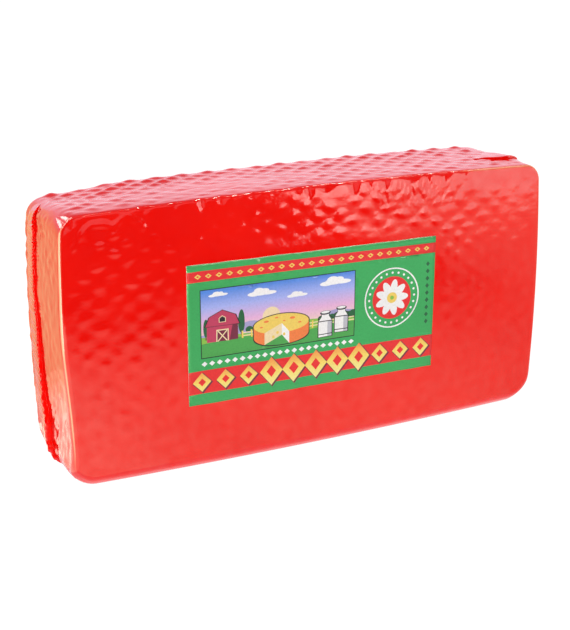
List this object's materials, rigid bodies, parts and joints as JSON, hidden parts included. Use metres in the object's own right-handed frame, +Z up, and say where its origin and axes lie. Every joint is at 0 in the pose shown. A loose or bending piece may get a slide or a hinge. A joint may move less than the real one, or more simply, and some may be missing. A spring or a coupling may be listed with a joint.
{
  "type": "cheese block",
  "caption": "Small block of Gouda-type cheese shrink-wrapped in glossy red film, standing on its long narrow side, with a printed label on its front.",
  "frame": {"origin": "middle of the base, on the surface that the block stands on", "axes": "+X along the block's length, +Z up, the labelled front face towards -Y"},
  "size_m": [0.2954, 0.069, 0.1514],
  "materials": {
    "film": "glossy tight shrink film, bright red, domed by the net of the cheese mould",
    "label_print": "coated paper printed in green and red with a landscape panel, satin"
  },
  "bodies": {
    "root": {"cheese_block": "film", "label": "label_print"}
  },
  "joints": []
}
